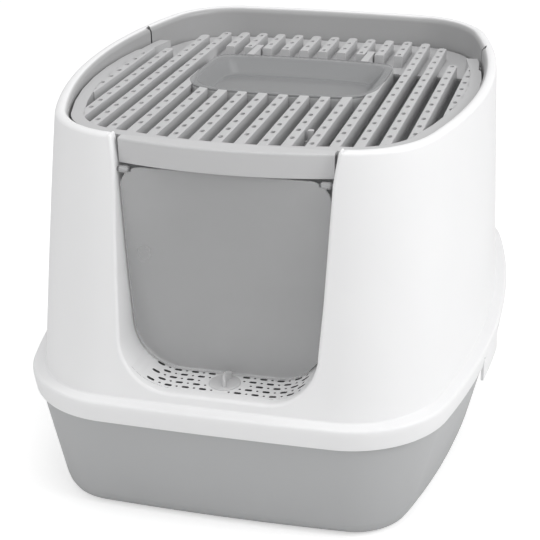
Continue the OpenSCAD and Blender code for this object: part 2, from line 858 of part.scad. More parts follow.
hatch_f = [hatch_half_w, hatch_half_d, hatch_front_r, 600, 1500, hatch_y];
hatch_b = [hatch_half_w, hatch_half_d, hatch_rear_r, 600, 1500, hatch_y];
function hatch_pts(i) = outline2(shrink(hatch_f, i), shrink(hatch_b, i));

// Dish outline: i is the inset at the sides, the rear slope is longer
function dish_pts(i) = outline2(
    [hatch_half_w - i, hatch_half_d - 1.25 * i, hatch_front_r - 0.5 * i, 600, 1500, hatch_y - 0.4 * i],
    [hatch_half_w - i, hatch_half_d - 1.25 * i, hatch_rear_r - 0.1 * i, 600, 1500, hatch_y - 0.4 * i]);

module hatch_collar() {
    color([0.7, 0.7, 0.71])
        translate([0, 0, lid_under])
            linear_extrude(height = lid_h - hatch_t - drop_gap)
                difference() {
                    polygon(hatch_pts(-0.5));
                    polygon(hatch_pts(lid_t - 0.5));
                }
}

module hatch_dish() {
    color([0.5, 0.51, 0.53, 0.5])
        difference() {
            union() {
                translate([0, 0, lid_z - hatch_t])
                    linear_extrude(height = hatch_t)
                        polygon(hatch_pts(0));
                loft([flat_ring(dish_pts(16.5), lid_z - dish_h - hatch_t),
                    flat_ring(dish_pts(14.5), lid_z - dish_h - 1),
                    flat_ring(dish_pts(5.4), lid_z - hatch_t + 0.2)]);
                // arms that reach back to the hinge pins
                for (s = [-1, 1])
                    translate([s * hinge_x - 3.4, 0, 0]) {
                        translate([0, hatch_y + hatch_half_d - 4, lid_z - hatch_t])
                            cube([6.8, hinge_y - hatch_y - hatch_half_d + 4, hatch_t]);
                        translate([0, hatch_y + hatch_half_d + 3, lid_z - 5])
                            cube([6.8, hinge_y - hatch_y - hatch_half_d - 3, 4]);
                        translate([0, hinge_y, hinge_z])
                            rotate([0, 90, 0])
                                cylinder(r = hinge_r + 2, h = 6.8);
                        translate([0, hinge_y - hinge_r - 2, hinge_z])
                            cube([6.8, 2 * hinge_r + 4, 3]);
                    }
            }
            loft([flat_ring(dish_pts(17.5), lid_z - dish_h),
                flat_ring(dish_pts(16.2), lid_z - dish_h + 0.8),
                flat_ring(dish_pts(7), lid_z - 0.6),
                flat_ring(dish_pts(6), lid_z + 0.2)]);
            for (s = [-1, 1])
                translate([s * hinge_x, hinge_y, hinge_z])
                    rotate([0, 90, 0])
                        cylinder(r = hinge_r + turn_play, h = 12, center = true);
        }
}

module hatch_pin(s) {
    color([0.6, 0.6, 0.62])
        translate([s * hinge_x, hinge_y, hinge_z])
            rotate([0, 90, 0])
                cylinder(r = hinge_r, h = rib_pitch - 1.8, center = true);
}

module hatch_pin_left() { hatch_pin(-1); }
module hatch_pin_right() { hatch_pin(1); }

// Side latches

module side_latch(s) {
    color([0.93, 0.93, 0.94])
        mirror([s < 0 ? 1 : 0, 0, 0])
            difference() {
                union() {
                    // curved plate that follows the side of the flange
                    intersection() {
                        translate([flange_half_w - flange_side_r, 0, latch_z])
                            difference() {
                                cylinder(r = flange_side_r - 1.3, h = latch_hinge_z - latch_z - 0.6, $fn = 720);
                                translate([0, 0, -1])
                                    cylinder(r = flange_side_r - 1.3 - wall_t, h = 60, $fn = 720);
                            }
                        translate([latch_x - 40, latch_y - latch_half, latch_z - 1])
                            cube([60, 2 * latch_half, 40]);
                    }
                    translate([latch_x, latch_y, 0])
                        rotate([0, 0, latch_turn]) {
                            translate([-1.3 - latch_knuckle_r, 0, latch_hinge_z])
                                rotate([90, 0, 0])
                                    cylinder(r = latch_knuckle_r, h = 2 * latch_half - 1, center = true);
                            // lip along the lower inner edge
                            translate([-5.2, -latch_half + 6, latch_z])
                                cube([2.4, 2 * latch_half - 12, 2.2]);
                        }
                }
                translate([latch_x, latch_y, 0])
                    rotate([0, 0, latch_turn])
                        translate([-1.3 - latch_knuckle_r, 0, latch_hinge_z])
                            rotate([90, 0, 0])
                                cylinder(r = latch_pin_r + turn_play, h = 2 * latch_half + 4, center = true);
            }
}

module side_latch_left() { side_latch(-1); }
module side_latch_right() { side_latch(1); }

module latch_pin(s) {
    color([0.6, 0.6, 0.62])
        at_latch(s)
            translate([-1.3 - latch_knuckle_r, 0, latch_hinge_z])
                rotate([90, 0, 0])
                    cylinder(r = latch_pin_r, h = 2 * latch_half + 5.6, center = true);
}

module latch_pin_left() { latch_pin(-1); }
module latch_pin_right() { latch_pin(1); }

base_tray();
cover_shell();
sill_tread();
sill_knob();
sill_cam();
front_flap();
flap_pin_left();
flap_pin_right();
lid_frame();
lid_fascia();
lid_ribs_left();
lid_ribs_right();
lid_ribs_front();
lid_ribs_rear();
lid_pivot_left();
lid_pivot_right();
hatch_collar();
hatch_dish();
hatch_pin_left();
hatch_pin_right();
lid_peg();
side_latch_left();
side_latch_right();
latch_pin_left();
latch_pin_right();
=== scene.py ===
# %% [markdown]
# # Top entry litter box
# The object is a moulded plastic box: a grey tray, a white cover that leans inwards, and a grey
# ribbed lid with smoke coloured plastic in its hatch and in the doorway's flap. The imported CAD
# model is loaded as a fixed frame. The large moulded shells are then made again as smooth
# surfaces worked out with numpy, because their roundings catch the light in the photograph.

# %% Load the frame
import math
import bmesh
import bpy
import numpy as np
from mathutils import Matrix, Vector


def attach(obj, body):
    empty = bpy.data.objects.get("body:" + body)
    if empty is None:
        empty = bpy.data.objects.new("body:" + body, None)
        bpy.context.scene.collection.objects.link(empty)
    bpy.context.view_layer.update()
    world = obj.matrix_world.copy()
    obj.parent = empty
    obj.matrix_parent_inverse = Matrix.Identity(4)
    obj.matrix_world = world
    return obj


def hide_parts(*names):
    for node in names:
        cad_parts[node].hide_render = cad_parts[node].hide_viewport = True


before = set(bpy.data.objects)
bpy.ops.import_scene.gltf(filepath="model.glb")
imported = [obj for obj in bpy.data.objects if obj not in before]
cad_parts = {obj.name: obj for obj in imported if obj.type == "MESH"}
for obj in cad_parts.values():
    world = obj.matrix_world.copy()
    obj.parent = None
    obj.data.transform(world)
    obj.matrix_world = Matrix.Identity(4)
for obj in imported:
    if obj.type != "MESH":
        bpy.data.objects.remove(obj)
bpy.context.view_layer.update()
scene = bpy.context.scene
MM = 0.001
print("nodes in the frame:", len(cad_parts))

# %% [markdown]
# ## Sizes
# An outline is made of arcs that touch each other. Its six numbers are the half width, the half
# depth, the corner radius, the radius of the front and back, the radius of the sides and the
# shift along the depth. Moving all arcs inwards by the same amount keeps their centres, so one
# outline gives every wall line of a shell.

# %% Outline sizes in millimetres
FLANGE = np.array([205, 255.25, 90, 4000, 787, 0.0])
RIM = np.array([185.7, 198.7, 78.7, 2500, 433, -4.05])
FLOOR = np.array([176.4, 233.4, 49.4, 2000, 763, -2.1])
LEDGE_Z, LEDGE_W, SKIRT_Z, SKIRT_DRAW = 112.3, 12.0, 93.1, 2.5
RIM_Z, RIM_RISE, RIM_BAND, RIM_ROLL, RIM_MID_Y = 330.9, 0.04, 10.9, 1.5, 5.25
WALL_T, STEP_Z, STEP_T, SHELF_Z, SHELF_W = 2.4, 151.0, 3.4, 306.7, 5.4
UNDER_Z, UNDER_TOP_Z, UNDER_T = 103.9, 109.9, 0.6
TRAY_IN, TRAY_TOP, TRAY_T = 6.2, 109.6, 2.6
LID_Z, LID_H, LID_GAP, LID_BORDER = 320.6, 13.6, 2.0, 10.5
DOOR_HALF, DOOR_SILL, DOOR_R = 82.6, 121.5, 42.0
PIVOT_Y, SLOT_W, SLOT_LOW_Z = 93.0, 2.0, 311.5
NOTCH_HALF, NOTCH_LOW_Z, NOTCH_TOP_Z, ABOVE_RIM_Z = 4.0, 332.1, 336.0, 345.0
LATCH_Y, KNOB_Y = -53.0, -214.0
TINY = 1e-6
CREASE = FLANGE - np.array([LEDGE_W] * 5 + [0])
TRAY_RIM = FLANGE - np.array([TRAY_IN] * 5 + [0])
LID = RIM - np.array([RIM_BAND + LID_GAP] * 5 + [0])


# %% Outline and mesh helpers
def quarter(p, n):
    """Quarter outline: a side arc, a corner arc that touches it, and an end arc, n steps in all."""
    a, b, r, rf, rs = p[:5]
    sx, fy = a - rs, b - rf
    gap = math.hypot(sx, fy)
    ex, ey = -sx / gap, fy / gap
    t = ((rs - r) ** 2 - (rf - r) ** 2 + gap ** 2) / (2 * gap)
    h = math.sqrt((rs - r) ** 2 - t ** 2)
    cx, cy = sx + ex * t - ey * h, ey * t + ex * h
    a1, a2 = math.atan2(cy, cx - sx), math.atan2(cy - fy, cx)
    n1, n3 = n // 5, n // 5
    t1 = np.linspace(0, a1, n1, endpoint=False)
    t2 = np.linspace(a1, a2, n - n1 - n3, endpoint=False)
    t3 = np.linspace(a2, math.pi / 2, n3 + 1)
    x = np.concatenate([sx + rs * np.cos(t1), cx + r * np.cos(t2), rf * np.cos(t3)])
    y = np.concatenate([rs * np.sin(t1), cy + r * np.sin(t2), fy + rf * np.sin(t3)])
    return np.stack([x, y], 1)


def outline(p, n=60, back=None):
    """Whole outline, seen from above against the clock, from two quarters mirrored in the width."""
    f = quarter(p, n)
    b = quarter(p if back is None else back, n)
    ring = np.concatenate([b[:-1], b[:0:-1] * [-1, 1], f[:-1] * [-1, -1], f[:0:-1] * [1, -1]])
    return ring + [0, p[5]]


def inset(p, i):
    """The same outline with every arc moved inwards by i."""
    return p - np.array([i, i, i, i, i, 0])


def rounded(points, radii, steps=4, span=24.0):
    """Closed profile: each corner is a parabola between two points its radius away, and long
    straights are cut to spans. A point holds any number of values, of which 1 and 2 are its
    inset and height."""
    out = []
    n = len(points)
    for k in range(n):
        p0, p1, p2 = points[k - 1], points[k], points[(k + 1) % n]
        d0, d1 = np.linalg.norm((p0 - p1)[1:3]), np.linalg.norm((p2 - p1)[1:3])
        r = radii[k]
        a = p1 + (p0 - p1) * min(r / max(d0, 1e-6), 0.5)
        c = p1 + (p2 - p1) * min(r / max(d1, 1e-6), 0.5)
        if r > 0:
            u = np.linspace(0, 1, steps + 1)[:, None]
            out.append((1 - u) ** 2 * a + 2 * u * (1 - u) * p1 + u ** 2 * c)
        else:
            out.append(p1[None, :])
        rest = np.linalg.norm((p2 - c)[1:3])
        cuts = int(rest // span)
        if cuts:
            w = np.linspace(0, 1, cuts + 2)[1:-1, None]
            end = p2 + (c - p2) * min(radii[(k + 1) % n] / max(d1, 1e-6), 0.5)
            out.append(c + (end - c) * w)
    return np.concatenate(out)


def grid_faces(m, n, close_m, close_n, base=0):
    """Quads of an m by n grid of points, joined round in either direction where asked."""
    i = np.arange(m if close_m else m - 1)[:, None]
    j = np.arange(n if close_n else n - 1)[None, :]
    i1, j1 = (i + 1) % m, (j + 1) % n
    q = np.stack([i * n + j, i * n + j1, i1 * n + j1, i1 * n + j], -1)
    return q.reshape(-1, 4) + base


def make_mesh(name, parts, smooth_angle=35.0):
    """One object from a list of (points, faces) parts, in millimetres, shaded smooth up to the
    given angle. Normals are made to point outwards."""
    verts, faces, base = [], [], 0
    for v, f in parts:
        verts.append(np.asarray(v, float).reshape(-1, 3))
        faces += [tuple(int(x) + base for x in row) for row in f]
        base += len(verts[-1])
    mesh = bpy.data.meshes.new(name)
    mesh.from_pydata((np.concatenate(verts) * MM).tolist(), [], faces)
    bm = bmesh.new()
    bm.from_mesh(mesh)
    bmesh.ops.remove_doubles(bm, verts=bm.verts, dist=TINY)
    bmesh.ops.recalc_face_normals(bm, faces=bm.faces)
    bm.to_mesh(mesh)
    bm.free()
    mesh.shade_smooth()
    mesh.set_sharp_from_angle(angle=math.radians(smooth_angle))
    obj = bpy.data.objects.new(name, mesh)
    scene.collection.objects.link(obj)
    return obj


def at_height(ring, z):
    """A plan ring lifted to one height."""
    return np.c_[ring, np.full(len(ring), z)]


def stacked(rings):
    """Closed body from rings of the same length, one over the other, with a face at each end."""
    v = np.array(rings)
    m, n = v.shape[:2]
    f = [tuple(r) for r in grid_faces(m, n, False, True)]
    f += [tuple(range(n))[::-1], tuple(range((m - 1) * n, m * n))]
    return v, f


def carried(rows):
    """Closed body from the lines that a section's points draw along a path, with a face at each
    end of the path."""
    v = np.array(rows)
    m, n = v.shape[:2]
    f = [tuple(r) for r in grid_faces(m, n, True, False)]
    f += [tuple(np.arange(m) * n), tuple((np.arange(m) * n + n - 1)[::-1])]
    return v, f


def prism(ring, lo, hi, axis="z"):
    """Straight block between two places on an axis. The ring holds the other two coordinates."""
    ring = np.asarray(ring, float)
    n = len(ring)
    v = np.concatenate([np.insert(ring, "xyz".index(axis), float(end), axis=1) for end in (lo, hi)])
    f = [tuple(r) for r in grid_faces(2, n, False, True)]
    f += [tuple(range(n)), tuple(range(2 * n - 1, n - 1, -1))]
    return v, f


def box(x0, x1, y0, y1, z0, z1):
    """A plain cutter block."""
    return prism([[x0, y0], [x1, y0], [x1, y1], [x0, y1]], z0, z1)


def carve(obj, parts, smooth_angle=35.0):
    """Takes the given closed parts out of obj and keeps the result as its mesh."""
    tool = make_mesh("cutter", parts)
    mod = obj.modifiers.new("carve", "BOOLEAN")
    mod.operation, mod.solver, mod.object = "DIFFERENCE", "EXACT", tool
    mod.use_self = True
    bpy.context.view_layer.update()
    done = bpy.data.meshes.new_from_object(obj.evaluated_get(bpy.context.evaluated_depsgraph_get()))
    obj.modifiers.clear()
    obj.data = done
    bpy.data.objects.remove(tool)
    done.shade_smooth()
    done.set_sharp_from_angle(angle=math.radians(smooth_angle))
    return obj


# %% [markdown]
# ## Materials
# All of it is injection moulded plastic. Each finish has a very fine moulded texture as bump, a
# faint change of tone over the piece and a roughness that wanders a little. The smoke pieces
# are tinted and partly clear, so what is behind them shows through, and they are smoother. Masks
# worked out from the place and the direction of a face paint shade on the faces that lie in
# shade: inside the rim, in the slots and holes, and under the tread. Another mask paints light
# on the inside of the tray, and the fascia's grey is the lid's grey made lighter as painted light.
# shade in the photograph: inside the rim, in the slots and holes, and under the tread.

# %% Plastic finishes
def plastic(name, colour, rough, tone=0.03, grain=0.06, alpha=1.0, coat=0.0, scale=900.0):
    """Moulded plastic: noise moves the tone and the roughness slightly, finer noise is the bump."""
    mat = bpy.data.materials.new(name)
    mat.use_nodes = True
    nt = mat.node_tree
    bsdf = nt.nodes["Principled BSDF"]
    bsdf.inputs["IOR"].default_value = 1.48
    bsdf.inputs["Alpha"].default_value = alpha
    bsdf.inputs["Coat Weight"].default_value = coat
    bsdf.inputs["Coat Roughness"].default_value = 0.12
    coord = nt.nodes.new("ShaderNodeTexCoord")
    wide = nt.nodes.new("ShaderNodeTexNoise")
    wide.inputs["Scale"].default_value = 9.0
    wide.inputs["Detail"].default_value = 3.0
    ramp = nt.nodes.new("ShaderNodeValToRGB")
    low = [c * (1 - tone) for c in colour]
    high = [min(c * (1 + tone), 1.0) for c in colour]
    ramp.color_ramp.elements[0].color = (*low, 1)
    ramp.color_ramp.elements[1].color = (*high, 1)
    ramp.color_ramp.elements[0].position = 0.3
    ramp.color_ramp.elements[1].position = 0.7
    fine = nt.nodes.new("ShaderNodeTexNoise")
    fine.inputs["Scale"].default_value = scale
    fine.inputs["Detail"].default_value = 2.0
    turn = nt.nodes.new("ShaderNodeMapRange")
    turn.inputs["To Min"].default_value = rough - 0.05
    turn.inputs["To Max"].default_value = rough + 0.05
    bump = nt.nodes.new("ShaderNodeBump")
    bump.inputs["Strength"].default_value = grain
    bump.inputs["Distance"].default_value = 0.0002
    nt.links.new(coord.outputs["Object"], wide.inputs["Vector"])
    nt.links.new(coord.outputs["Object"], fine.inputs["Vector"])
    nt.links.new(wide.outputs["Fac"], ramp.inputs["Fac"])
    nt.links.new(ramp.outputs["Color"], bsdf.inputs["Base Color"])
    nt.links.new(wide.outputs["Fac"], turn.inputs["Value"])
    nt.links.new(turn.outputs["Result"], bsdf.inputs["Roughness"])
    nt.links.new(fine.outputs["Fac"], bump.inputs["Height"])
    nt.links.new(bump.outputs["Normal"], bsdf.inputs["Normal"])
    return mat


def add_node(nt, kind, operation, a, b):
    """A math or vector math node with each input linked or set."""
    node = nt.nodes.new(kind)
    node.operation = operation
    for k, x in enumerate((a, b)):
        if x is None:
            continue
        if isinstance(x, bpy.types.NodeSocket):
            nt.links.new(x, node.inputs[k])
        else:
            node.inputs[k].default_value = x
    scalar = kind == "ShaderNodeMath" or operation == "DOT_PRODUCT"
    return node.outputs["Value" if scalar else "Vector"]


def calc(nt, operation, a, b=None):
    """A math node."""
    return add_node(nt, "ShaderNodeMath", operation, a, b)


def smooth_mask(nt, value, start, end):
    """0 below start, 1 above end, with a soft step between."""
    node = nt.nodes.new("ShaderNodeMapRange")
    node.interpolation_type = "SMOOTHSTEP"
    node.inputs["From Min"].default_value = start
    node.inputs["From Max"].default_value = end
    nt.links.new(value, node.inputs["Value"])
    return node.outputs["Result"]


def dim(mat, mask, amount):
    """Painted shade and light: multiplies the base colour by amount where the mask is 1."""
    nt = mat.node_tree
    bsdf = nt.nodes["Principled BSDF"]
    source = bsdf.inputs["Base Color"].links[0].from_socket
    mix = nt.nodes.new("ShaderNodeMix")
    mix.data_type, mix.blend_type = "RGBA", "MULTIPLY"
    nt.links.new(mask, mix.inputs["Factor"])
    nt.links.new(source, mix.inputs[6])
    mix.inputs[7].default_value = (amount, amount, amount, 1)
    nt.links.new(mix.outputs[2], bsdf.inputs["Base Color"])


def parts_of(nt, socket):
    """Splits a vector into its three sockets."""
    node = nt.nodes.new("ShaderNodeSeparateXYZ")
    nt.links.new(socket, node.inputs[0])
    return node.outputs["X"], node.outputs["Y"], node.outputs["Z"]


FACING_FROM, FACING_TO = 0.45, 0.75
FADE, MASK_BLUR, SLOT_REACH, SLOT_FROM_X = 4.0, 0.2, 4.3, 160.0
SHADE_R, SHADE_REAR_Y, SHADE_FRONT_Y, SHADE_TOP_Z = 43.5, -195.0, -232.5, 139.0


def paint_inward_shade_and_light(mat, amount, bottom, top):
    """Painted shade and light on faces that look towards the middle of the box, between two heights: their
    base colour is multiplied by amount.
    """
    nt = mat.node_tree
    coord = nt.nodes.new("ShaderNodeTexCoord")
    flat = add_node(nt, "ShaderNodeVectorMath", "MULTIPLY", coord.outputs["Object"], (1, 1, 0))
    away = add_node(nt, "ShaderNodeVectorMath", "NORMALIZE", flat, None)
    facing = add_node(nt, "ShaderNodeVectorMath", "DOT_PRODUCT", coord.outputs["Normal"], away)
    inward = smooth_mask(nt, calc(nt, "MULTIPLY", facing, -1.0), FACING_FROM, FACING_TO)
    z = parts_of(nt, coord.outputs["Object"])[2]
    above = smooth_mask(nt, z, bottom * MM, (bottom + FADE) * MM)
    below = calc(nt, "LESS_THAN", z, top * MM)
    dim(mat, calc(nt, "MULTIPLY", calc(nt, "MULTIPLY", inward, above), below), amount)


def dim_slots(mat, amount):
    """The cut faces of the two pivot slots are in deep shade."""
    nt = mat.node_tree
    coord = nt.nodes.new("ShaderNodeTexCoord")
    x, y = parts_of(nt, coord.outputs["Object"])[:2]
    away = calc(nt, "ABSOLUTE", calc(nt, "SUBTRACT", y, PIVOT_Y * MM))
    near = calc(nt, "LESS_THAN", away, SLOT_REACH * MM)
    out = calc(nt, "GREATER_THAN", calc(nt, "ABSOLUTE", x), SLOT_FROM_X * MM)
    ny = calc(nt, "ABSOLUTE", parts_of(nt, coord.outputs["Normal"])[1])
    cut = calc(nt, "GREATER_THAN", ny, 0.6)
    dim(mat, calc(nt, "MULTIPLY", calc(nt, "MULTIPLY", near, out), cut), amount)


def dim_hole_walls(mat, amount):
    """Walls of the upright holes, the faces with little upward share, are in deep shade."""
    nt = mat.node_tree
    coord = nt.nodes.new("ShaderNodeTexCoord")
    nz = calc(nt, "ABSOLUTE", parts_of(nt, coord.outputs["Normal"])[2])
    dim(mat, calc(nt, "LESS_THAN", nz, 0.35), amount)


def paint_shade_under_tread(mat, amount):
    """Painted shade on the seat under the tread, further from the doorway's corner centres than the sill: it
    is darkened.
    """
    nt = mat.node_tree
    coord = nt.nodes.new("ShaderNodeTexCoord")
    x, y, z = parts_of(nt, coord.outputs["Object"])
    side = calc(nt, "SUBTRACT", calc(nt, "ABSOLUTE", x), (DOOR_HALF - DOOR_R) * MM)
    side = calc(nt, "MAXIMUM", side, 0.0)
    down = calc(nt, "MAXIMUM", calc(nt, "SUBTRACT", (DOOR_SILL + DOOR_R) * MM, z), 0.0)
    squares = calc(nt, "ADD", calc(nt, "MULTIPLY", side, side), calc(nt, "MULTIPLY", down, down))
    blur = MASK_BLUR
    far = smooth_mask(nt, calc(nt, "SQRT", squares), (SHADE_R - blur) * MM, (SHADE_R + blur) * MM)
    rear = smooth_mask(nt, y, (SHADE_REAR_Y - blur) * MM, (SHADE_REAR_Y + blur) * MM)
    front = smooth_mask(nt, y, (SHADE_FRONT_Y - 0.3) * MM, (SHADE_FRONT_Y + 0.3) * MM)
    band = calc(nt, "SUBTRACT", front, rear)
    band = calc(nt, "MULTIPLY", band, calc(nt, "LESS_THAN", z, SHADE_TOP_Z * MM))
    dim(mat, calc(nt, "MULTIPLY", far, band), amount)


WHITE = plastic("cover white", (0.82, 0.82, 0.825), 0.36, 0.01)
# cover shell white and doorway white are copies of the cover's white that carry the painted shade masks set
# below
COVER = plastic("cover shell white", (0.82, 0.82, 0.825), 0.36, 0.01)
LINING = plastic("doorway white", (0.82, 0.82, 0.825), 0.36, 0.01)
TREAD = plastic("tread white", (0.80, 0.80, 0.805), 0.38, 0.01)
TRAY = plastic("tray grey", (0.43, 0.435, 0.44), 0.42, 0.015)
LID_GREY = plastic("lid grey", (0.50, 0.50, 0.505), 0.40, 0.015)
# the fascia's grey is the lid's grey made lighter: painted light on the fascia
FASCIA_GREY = plastic("fascia grey", (0.54, 0.54, 0.545), 0.40, 0.015)
RIB_GREY = plastic("rib grey", (0.50, 0.50, 0.505), 0.40, 0.015)
KNOB = plastic("knob grey", (0.60, 0.60, 0.605), 0.36, 0.015)
PIN = plastic("pin grey", (0.16, 0.16, 0.165), 0.45, 0.03)
FLAP = plastic("flap smoke", (0.76, 0.763, 0.768), 0.18, 0.02, 0.02, 0.32)
DISH = plastic("hatch smoke", (0.33, 0.335, 0.34), 0.16, 0.02, 0.02, 0.6)
# painted shade on the inner faces of the rim, between 300 and 400 mm up
paint_inward_shade_and_light(COVER, 0.46, 300, 400)
# painted light: the tray's inner faces are made lighter
paint_inward_shade_and_light(TRAY, 1.4, 4, 200)
dim_slots(COVER, 0.1)
dim_hole_walls(TREAD, 0.12)
# painted shade on the doorway lining where it lies under the tread
paint_shade_under_tread(LINING, 0.12)


def wear(obj, mat):
    """Puts one finish on a piece."""
    obj.data.materials.clear()
    obj.data.materials.append(mat)
    return obj


def dress(node, mat):
    """Gives a CAD node a finish through its own material slots."""
    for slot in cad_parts[node].material_slots:
        slot.material = mat


for node, mat in {
    "sill_tread": TREAD, "sill_knob": KNOB, "sill_cam": KNOB, "front_flap": FLAP,
    "flap_pin_left": PIN, "flap_pin_right": PIN, "lid_frame": LID_GREY, "lid_fascia": LID_GREY,
    "lid_ribs_left": RIB_GREY, "lid_ribs_right": RIB_GREY, "lid_ribs_front": RIB_GREY,
    "lid_ribs_rear": RIB_GREY, "lid_pivot_left": LID_GREY, "lid_pivot_right": LID_GREY,
    "hatch_collar": LID_GREY, "hatch_dish": DISH, "hatch_pin_left": PIN, "hatch_pin_right": PIN,
    "lid_peg": LID_GREY, "side_latch_left": WHITE, "side_latch_right": WHITE,
    "latch_pin_left": PIN, "latch_pin_right": PIN, "base_tray": TRAY, "cover_shell": WHITE,
}.items():
    dress(node, mat)

# %% [markdown]
# ## Tray
# The tray is one moulding: a wall that leans outwards from a rounded bottom. It is a profile of
# inset and height carried round the outline, where the outline itself changes with the height.


# %% Tray
def tray_shell():
    """Profile of inset and height carried round: the outline at height z mixes the floor's and the
    tray rim's by the share of the skirt's height."""
    prof = [[24.6, 0.9], [24, 0], [9, 0], [5.5, 1.2], [2.6, 3.6], [0.7, 8], [0, 14], [0, 50],
            [0, SKIRT_Z], [0, TRAY_TOP - 1], [0.8, TRAY_TOP], [TRAY_T - 0.8, TRAY_TOP],
            [TRAY_T, TRAY_TOP - 1], [TRAY_T, SKIRT_Z], [TRAY_T, 14], [3.6, TRAY_T + 6],
            [7, TRAY_T + 2.4], [11, TRAY_T + 0.9]]
    rings = [at_height(outline(inset(FLOOR, prof[0][0])), prof[0][1])]
    for i, z in prof[1:]:
        t = min(z / SKIRT_Z, 1.0)
        rings.append(at_height(outline(inset(FLOOR * (1 - t) + TRAY_RIM * t, i)), z))
    return stacked(rings)


tray = wear(make_mesh("tray_shell", [tray_shell()], 40), TRAY)
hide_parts("base_tray")
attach(tray, "tray")
print("tray faces", len(tray.data.polygons))

# %% [markdown]
# ## Cover
# The cover's section goes round in one closed line: up the skirt, over the flange's ledge, up the
# leaning wall, over the rolled rim, down its inner lip to the shelf, and back down the inside.
# It is carried round the outline, then the doorway and the small openings are cut out.


# %% Doorway outline
DOOR_SIDE = np.array([[163.5, DOOR_HALF], [205, 85.0], [250, 86.5], [300, 88.0], [320.5, 91.0]])
SIDE_FROM_Z, FLARE_Z, FLARE_R = 172.0, 320.5, 4.0


def door_curve(d=0.0, top=None, n=28):
    """Right half of the doorway from the middle of the sill up, moved outwards by d: a flat sill,
    a corner arc and a side that leans out. With a top it goes on by a small flare up to there."""
    a = np.linspace(-math.pi / 2, 0, n)
    arc = [DOOR_HALF - DOOR_R, DOOR_SILL + DOOR_R] + (DOOR_R + d) * np.c_[np.cos(a), np.sin(a)]
    flat = np.c_[np.linspace(0, DOOR_HALF - DOOR_R, 6)[:-1], np.full(5, DOOR_SILL - d)]
    z = np.linspace(SIDE_FROM_Z, FLARE_Z, 14)
    x = np.interp(z, DOOR_SIDE[:, 0], DOOR_SIDE[:, 1])
    body = np.concatenate([flat, arc, np.c_[x + d, z]])
    if top is None:
        return body
    b = np.linspace(0, math.pi / 2, 7)[1:]
    wide = DOOR_SIDE[-1, 1] + FLARE_R + d
    flare = np.c_[wide - FLARE_R * np.cos(b), FLARE_Z + FLARE_R * np.sin(b)]
    return np.concatenate([body, flare, [[wide, top]]])


def mirrored(half):
    """Closed ring of width and height from its right half, which starts in the middle."""
    return np.concatenate([half, (half * [-1, 1])[::-1][:-1]])


def wall_front(x, z):
    """Depth of the cover's outer front at a width and height. The height on the leaning wall gives
    the outline's share, and the outline's front arc gives the depth, found in three rounds."""
    y = np.full_like(x, -220.0)
    for _ in range(3):
        t = np.clip((z - LEDGE_Z) / (RIM_Z - LEDGE_Z + RIM_RISE * (y - RIM_MID_Y)), 0, 1)
        p = CREASE[:, None] * (1 - t) + RIM[:, None] * t
        y = p[5] - (p[1] - p[3] + np.sqrt(p[3] ** 2 - x ** 2))
    return y


# %% Cover shell
def cover_section():
    """Closed section of the cover: part of the way up the wall, inset, height, share of the lean."""
    s = (STEP_Z - LEDGE_Z) / (RIM_Z - LEDGE_Z)
    b, w, low = RIM_BAND, WALL_T, RIM_Z - WALL_T
    pts = np.array([
        [0, SKIRT_DRAW - LEDGE_W, SKIRT_Z, 0], [0, -LEDGE_W + 0.2, 108.6, 0],
        [0, -LEDGE_W + 1.2, 112.0, 0], [0, 0, 112.4, 0], [1, 0, RIM_Z - 0.4, 1],
        [1, 0.3 * b, RIM_Z + RIM_ROLL, 1], [1, 0.68 * b, RIM_Z + 0.9 * RIM_ROLL, 1],
        [1, b, low, 1], [1, b, SHELF_Z, 0], [1, b + SHELF_W, SHELF_Z, 0],
        [1, b + SHELF_W, SHELF_Z - w, 0], [1, b - w, SHELF_Z - w, 0], [1, b - w, low, 1],
        [1, w, low, 1], [s, w, STEP_Z, 0], [s, STEP_T, STEP_Z - 1, 0], [0, STEP_T, UNDER_Z, 0],
        [0, UNDER_T, UNDER_Z, 0], [0, UNDER_T, UNDER_TOP_Z, 0], [0, 2.8 - LEDGE_W, UNDER_TOP_Z, 0],
        [0, w + SKIRT_DRAW - LEDGE_W, SKIRT_Z, 0]])
    radii = [0.9, 3.5, 1.6, 1.6, 1.6, 2.4, 2.6, 1.8, 0.5, 0.6, 0.6, 0.6, 0.8, 0.8, 0.2, 0.2,
             0.5, 0.5, 0.5, 1, 0.9]
    return rounded(pts, radii)


def cover_shell():
    """The section carried round, each of its points on the outline at its own height."""
    rings = []
    for t, i, z, lean in cover_section():
        ring = outline(inset(CREASE * (1 - t) + RIM * t, i))
        rings.append(np.c_[ring, z + lean * RIM_RISE * (ring[:, 1] - RIM_MID_Y)])
    v = np.array(rings)
    return v, grid_faces(v.shape[0], v.shape[1], True, True)


EDGE_R, TURN = 2.6, math.asin(LATCH_Y / FLANGE[4])
LATCH_X = FLANGE[0] - LATCH_Y ** 2 / (2 * FLANGE[4])
LATCH_OUT, LATCH_IN, LATCH_HALF, LATCH_LOW_Z, LATCH_TOP_Z = 2.6, 6.4, 33.6, 88.0, 105.3
SHELF_FROM_Y, SHELF_LOW_Z, SHELF_HIGH_Z = 73.0, 303.6, 306.9


def latch_window(s):
    """Opening in the skirt for one side latch, turned to follow the side."""
    lx = np.array([-LATCH_IN, LATCH_OUT, LATCH_OUT, -LATCH_IN])
    ly = np.array([-LATCH_HALF, -LATCH_HALF, LATCH_HALF, LATCH_HALF])
    c, t = math.cos(TURN), math.sin(TURN)
    ring = np.c_[s * (LATCH_X + lx * c - ly * t), LATCH_Y + lx * t + ly * c]
    return prism(ring if s > 0 else ring[::-1], LATCH_LOW_Z, LATCH_TOP_Z)


